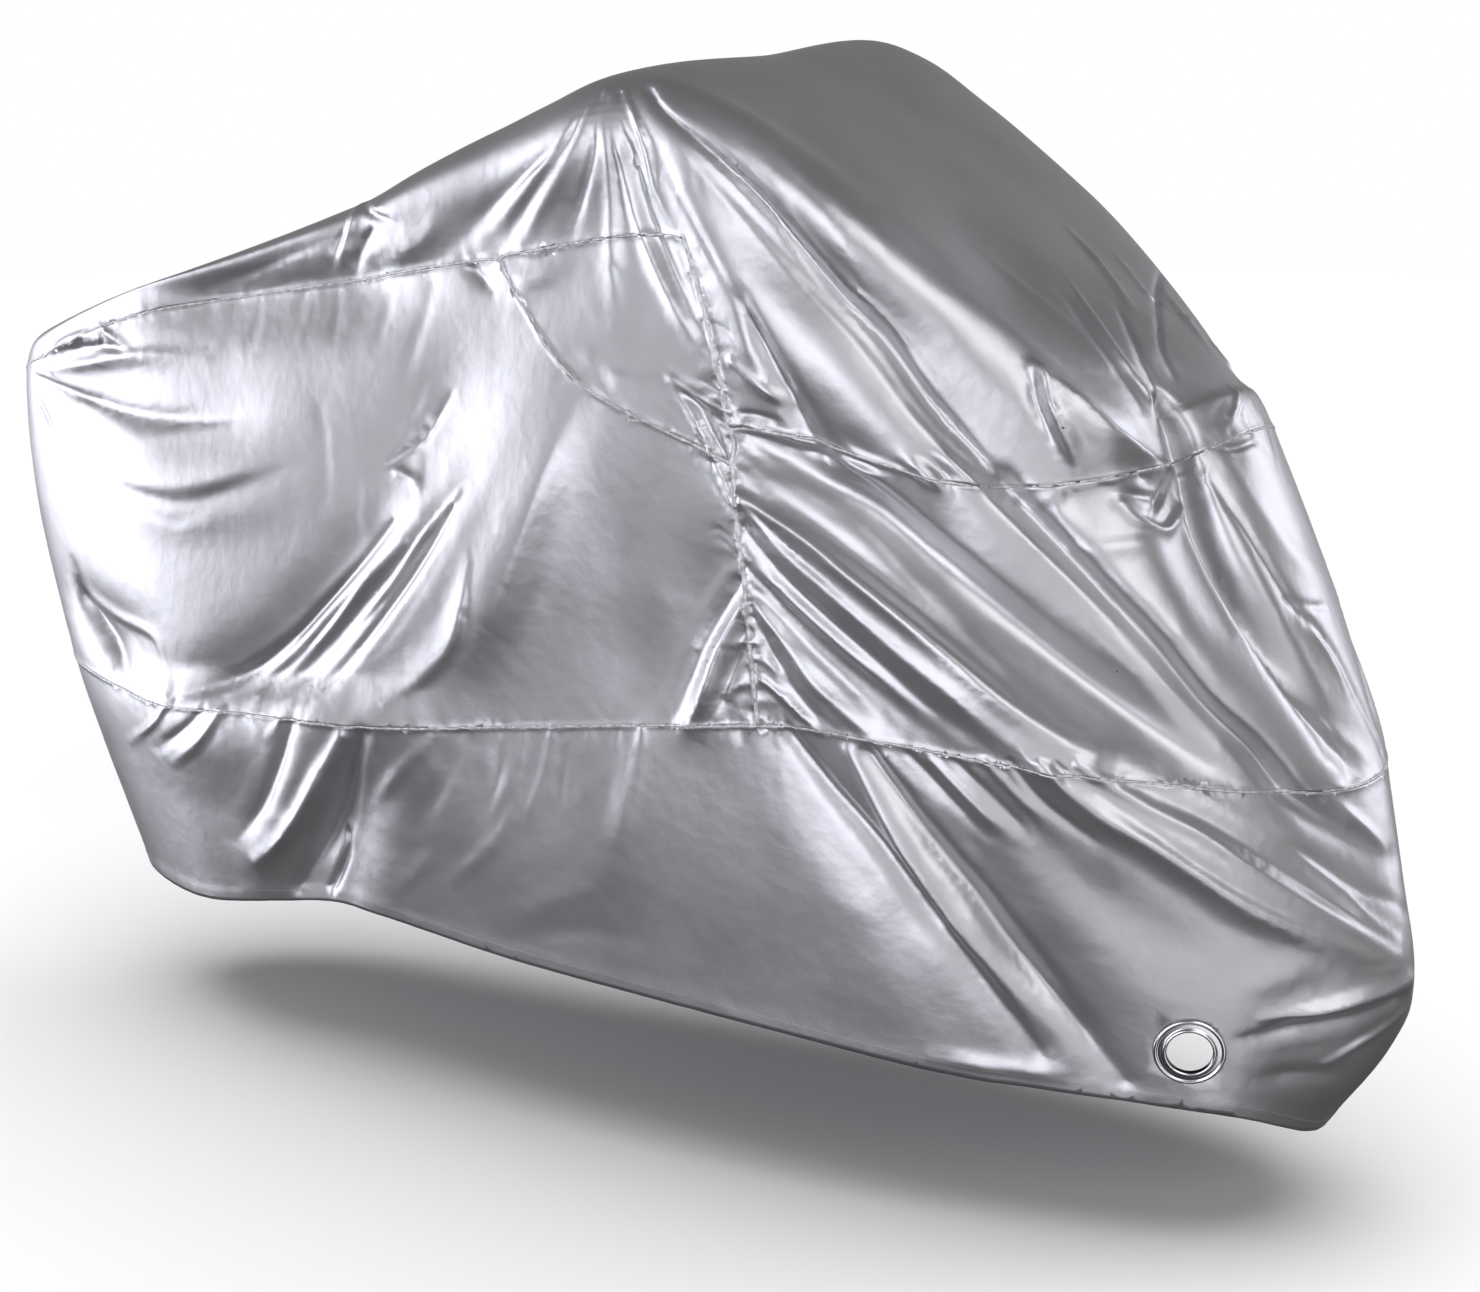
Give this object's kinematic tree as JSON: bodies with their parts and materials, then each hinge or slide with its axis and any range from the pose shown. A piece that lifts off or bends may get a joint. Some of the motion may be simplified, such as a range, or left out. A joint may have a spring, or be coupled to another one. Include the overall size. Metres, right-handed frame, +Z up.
{
  "type": "motorcycle cover",
  "caption": "Fitted motorcycle cover of silver coated cloth, hollow and draped as over a seat and handlebar, with a hood, gathered side seams, a skirt and ringed eyelets low at the front.",
  "frame": {"origin": "inner face of the cloth at its crown, on the middle plane above the handlebar, where the machine holds it up", "axes": "+X to the front wheel, +Y to the rider's left, +Z up"},
  "size_m": [2.0829, 0.7673, 1.26],
  "materials": {
    "silver_cloth": "silver-coated polyester, soft satin sheen",
    "eyelet_metal": "bright plated"
  },
  "bodies": {
    "root": {"top_panel": "silver_cloth", "side_panel_right": "silver_cloth", "side_panel_left": "silver_cloth", "gusset_right": "silver_cloth", "gusset_left": "silver_cloth", "front_panel": "silver_cloth", "skirt": "silver_cloth", "eyelet_right": "eyelet_metal", "eyelet_left": "eyelet_metal"}
  },
  "joints": []
}
